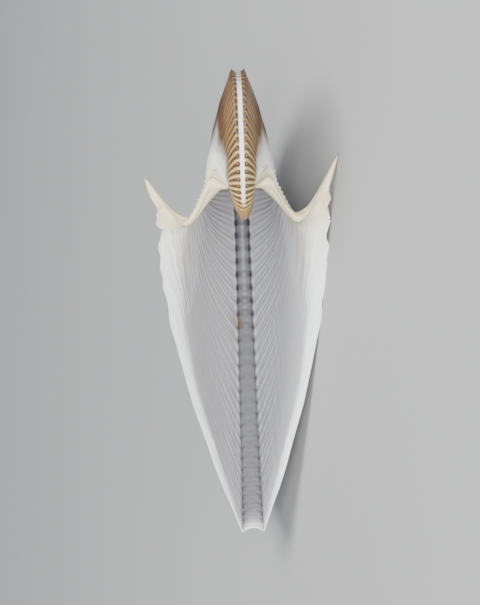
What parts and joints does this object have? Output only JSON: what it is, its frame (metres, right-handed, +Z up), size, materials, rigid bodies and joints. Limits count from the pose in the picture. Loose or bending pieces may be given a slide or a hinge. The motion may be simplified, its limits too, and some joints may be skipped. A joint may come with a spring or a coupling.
{
  "type": "paper nautilus shell",
  "caption": "Thin ribbed egg case of an argonaut: a narrow open spiral with a nodular brown keel, a wedge-shaped aperture and an ear at each side, lying on its flank.",
  "frame": {"origin": "centre of the bounding box's base, on the surface the shell lies on", "axes": "+X from the lip's keel end towards the coil, -Y out of the aperture, +Z up"},
  "size_m": [0.152, 0.0868, 0.0592],
  "materials": {
    "shell": "thin satin calcite wall, white to cream, brown on the coil and its keel"
  },
  "bodies": {
    "root": {"shell": "shell"}
  },
  "joints": []
}
